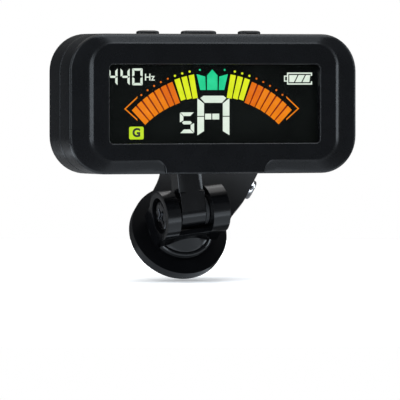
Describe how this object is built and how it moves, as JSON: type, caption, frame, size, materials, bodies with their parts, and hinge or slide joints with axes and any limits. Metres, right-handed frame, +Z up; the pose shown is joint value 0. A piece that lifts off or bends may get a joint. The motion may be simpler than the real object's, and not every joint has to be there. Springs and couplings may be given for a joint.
{
  "type": "clip on tuner",
  "caption": "Spring clip with a jointed neck and a wide display head, for an instrument's headstock.",
  "frame": {"origin": "middle of the front pad's contact face, where the clip bears on a headstock", "axes": "+Z up, +X along the head's width to the viewer's right, the display faces -Y; the pad's face leans 29 degrees with the headstock"},
  "size_m": [0.056, 0.0548, 0.0457],
  "materials": {
    "shell_plastic": "fine satin moulding",
    "black_plastic": "satin moulding",
    "button_plastic": "satin moulding",
    "dark_plastic": "plain moulding",
    "white_plastic": "plain moulding",
    "window_plastic": "clear acrylic",
    "display_glass": "dark display glass",
    "board_laminate": "solder mask",
    "battery_foil": "foil pouch",
    "sensor_brass": "plain",
    "steel": "zinc plated",
    "dark_steel": "black oxide",
    "chrome": "polished plating",
    "rubber": "soft moulded rubber"
  },
  "bodies": {
    "front_jaw": {"front_jaw": "black_plastic", "front_pad": "rubber", "pivot_pin": "chrome", "clip_spring": "steel"},
    "rear_jaw": {"rear_jaw": "black_plastic", "rear_pad": "rubber"},
    "yoke": {"yoke": "black_plastic", "hinge_screw": "chrome", "hinge_nut": "steel", "friction_washer_left": "dark_plastic", "friction_washer_right": "dark_plastic", "turntable_screw": "steel", "turntable_washer": "steel"},
    "arm": {"arm": "black_plastic", "tilt_pin": "steel"},
    "knuckle": {"swivel_knuckle": "black_plastic", "swivel_washer": "steel", "swivel_screw": "steel"},
    "head": {"front_shell": "shell_plastic", "rear_shell": "shell_plastic", "display_window": "window_plastic", "lcd_panel": "display_glass", "backlight": "white_plastic", "circuit_board": "board_laminate", "battery": "battery_foil", "usb_socket": "steel", "piezo_sensor": "sensor_brass", "tact_switch_left": "dark_plastic", "tact_switch_middle": "dark_plastic", "tact_switch_right": "dark_plastic", "shell_screw_1": "dark_steel", "shell_screw_2": "dark_steel", "shell_screw_3": "dark_steel", "shell_screw_4": "dark_steel"},
    "button_left": {"button_left": "button_plastic"},
    "button_middle": {"button_middle": "button_plastic"},
    "button_right": {"button_right": "button_plastic"}
  },
  "joints": [
    {"name": "jaw_hinge", "type": "hinge", "parent": "front_jaw", "child": "rear_jaw", "pos_m": [0.01167, 0.01159, 0.01305], "axis": [0.8288, -0.3116, -0.4646], "range_deg": [0, 50], "stiffness_Nm_per_rad": 0.08, "springref_deg": -51.57, "deforming": ["clip_spring"]},
    {"name": "turntable", "type": "hinge", "parent": "front_jaw", "child": "yoke", "pos_m": [-0.00023, -0.00345, 0.0019], "axis": [-0.0591, -0.8746, 0.4812], "continuous": true},
    {"name": "arm_hinge", "type": "hinge", "parent": "yoke", "child": "arm", "pos_m": [-0.00101, -0.00984, 0.00537], "axis": [0.9925, 0, 0.1219], "range_deg": [-12, 80]},
    {"name": "head_tilt", "type": "hinge", "parent": "arm", "child": "knuckle", "pos_m": [-0.00302, -0.01215, 0.02169], "axis": [0.9925, 0, 0.1219], "range_deg": [-45, 5]},
    {"name": "head_roll", "type": "hinge", "parent": "knuckle", "child": "head", "pos_m": [-0.00302, -0.01215, 0.02169], "axis": [0, -1, 0], "continuous": true},
    {"name": "press_left", "type": "slide", "parent": "head", "child": "button_left", "axis": [0, 0, -1], "range_m": [0, 0.0004], "stiffness_N_per_m": 300},
    {"name": "press_middle", "type": "slide", "parent": "head", "child": "button_middle", "axis": [0, 0, -1], "range_m": [0, 0.0004], "stiffness_N_per_m": 300},
    {"name": "press_right", "type": "slide", "parent": "head", "child": "button_right", "axis": [0, 0, -1], "range_m": [0, 0.0004], "stiffness_N_per_m": 300}
  ]
}
